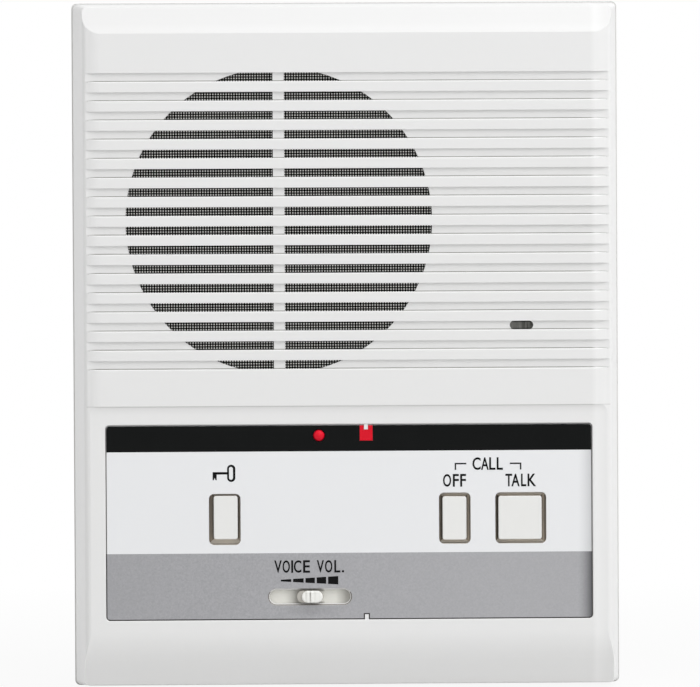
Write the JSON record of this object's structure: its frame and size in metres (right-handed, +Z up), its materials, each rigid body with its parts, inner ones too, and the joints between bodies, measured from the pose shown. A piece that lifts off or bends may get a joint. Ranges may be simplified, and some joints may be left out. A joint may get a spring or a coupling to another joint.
{
  "type": "intercom master station",
  "caption": "Wall-hung intercom master station with a louvred speaker cover, microphone, control panel, three push buttons, volume slide and lamps.",
  "frame": {"origin": "centre of the back face, on the wall plane", "axes": "+X to the viewer's right, +Z up, the front faces -Y and +Y goes into the wall"},
  "size_m": [0.14, 0.0422, 0.175],
  "materials": {
    "cover_plastic": "fine satin moulding",
    "case_plastic": "fine texture",
    "button_plastic": "satin",
    "panel_print": "printed, satin",
    "red_lens": "clear red, polished",
    "lamp_body": "clear red",
    "mesh_wire": "woven wire",
    "dark_cloth": "woven",
    "black_rubber": "matt",
    "felt": "felt",
    "pressed_steel": "zinc plated",
    "cone_paper": "pressed paper",
    "ferrite": "sintered",
    "copper_winding": "enamelled wire",
    "lug_brass": "tinned",
    "phenolic": "laminate",
    "board_laminate": "laminate",
    "black_plastic": "moulded",
    "lead_insulation": "insulation",
    "can_aluminium": "drawn",
    "sink_aluminium": "anodised",
    "capacitor_sleeve": "shrink sleeve",
    "relay_case": "moulded",
    "resistor_body": "lacquer",
    "switch_body": "moulded",
    "screw_steel": "zinc plated"
  },
  "bodies": {
    "housing": {"front_cover": "cover_plastic", "control_panel": "panel_print", "power_lamp_window": "red_lens", "power_lamp": "lamp_body", "call_lamp": "red_lens", "volume_potentiometer": "pressed_steel", "microphone_cloth": "dark_cloth", "microphone_boot": "black_rubber", "microphone_capsule": "can_aluminium", "speaker_mesh": "mesh_wire", "speaker_gasket": "felt", "speaker_frame": "pressed_steel", "speaker_surround": "cone_paper", "speaker_cone": "cone_paper", "speaker_dust_cap": "cone_paper", "speaker_voice_coil": "copper_winding", "speaker_spider": "phenolic", "speaker_top_plate": "pressed_steel", "speaker_magnet": "ferrite", "speaker_yoke": "pressed_steel", "speaker_terminal_strip": "phenolic", "speaker_lugs": "lug_brass", "speaker_leads": "lead_insulation", "speaker_clamps": "pressed_steel", "speaker_screws": "screw_steel", "main_board": "board_laminate", "board_screws": "screw_steel", "transformer_core": "pressed_steel", "transformer_coil": "copper_winding", "capacitors": "capacitor_sleeve", "logic_chips": "black_plastic", "door_relay": "relay_case", "board_header": "black_plastic", "heat_sink": "sink_aluminium", "amplifier_chip": "black_plastic", "resistors": "resistor_body", "rear_case": "case_plastic", "case_screws": "screw_steel", "terminal_block": "black_plastic", "terminal_screws": "lug_brass", "terminal_leads": "lead_insulation", "door_release_switch": "switch_body", "off_switch": "switch_body", "talk_switch": "switch_body"},
    "door_release": {"door_release_button": "button_plastic", "door_release_plunger": "black_plastic"},
    "off": {"off_button": "button_plastic", "off_plunger": "black_plastic"},
    "talk": {"talk_button": "button_plastic", "talk_plunger": "black_plastic"},
    "volume": {"volume_knob": "button_plastic", "volume_shutter": "button_plastic", "potentiometer_lever": "pressed_steel"}
  },
  "joints": [
    {"name": "door_release_press", "type": "slide", "parent": "housing", "child": "door_release", "axis": [0, 1, 0], "range_m": [0, 0.0012], "stiffness_N_per_m": 900, "springref_m": -0.0012},
    {"name": "off_press", "type": "slide", "parent": "housing", "child": "off", "axis": [0, 1, 0], "range_m": [0, 0.0012], "stiffness_N_per_m": 900, "springref_m": -0.0012},
    {"name": "talk_press", "type": "slide", "parent": "housing", "child": "talk", "axis": [0, 1, 0], "range_m": [0, 0.0012], "stiffness_N_per_m": 900, "springref_m": -0.0012},
    {"name": "volume_slide", "type": "slide", "parent": "housing", "child": "volume", "axis": [1, 0, 0], "range_m": [-0.0065, 0.0064]}
  ]
}
